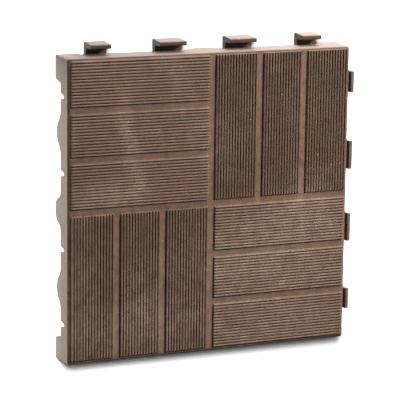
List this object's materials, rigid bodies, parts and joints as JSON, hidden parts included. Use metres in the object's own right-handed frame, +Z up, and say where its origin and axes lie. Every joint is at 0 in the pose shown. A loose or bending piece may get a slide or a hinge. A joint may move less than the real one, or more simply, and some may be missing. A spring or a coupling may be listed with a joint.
{
  "type": "interlocking deck tile",
  "caption": "Square moulded floor tile with a ridged basket-weave tread; hooks on two sides lock into arches on the next tile.",
  "frame": {"origin": "centre of the square body, at ground level under the feet", "axes": "+Z up through the ridged tread; the hooks stand out of the +X and +Y sides, and the arches are in the -X and -Y sides"},
  "size_m": [0.4181, 0.4181, 0.045],
  "materials": {
    "moulding": "dark brown moulded composite, fine grooves, slightly mottled"
  },
  "bodies": {
    "root": {"deck_tile": "moulding"}
  },
  "joints": []
}
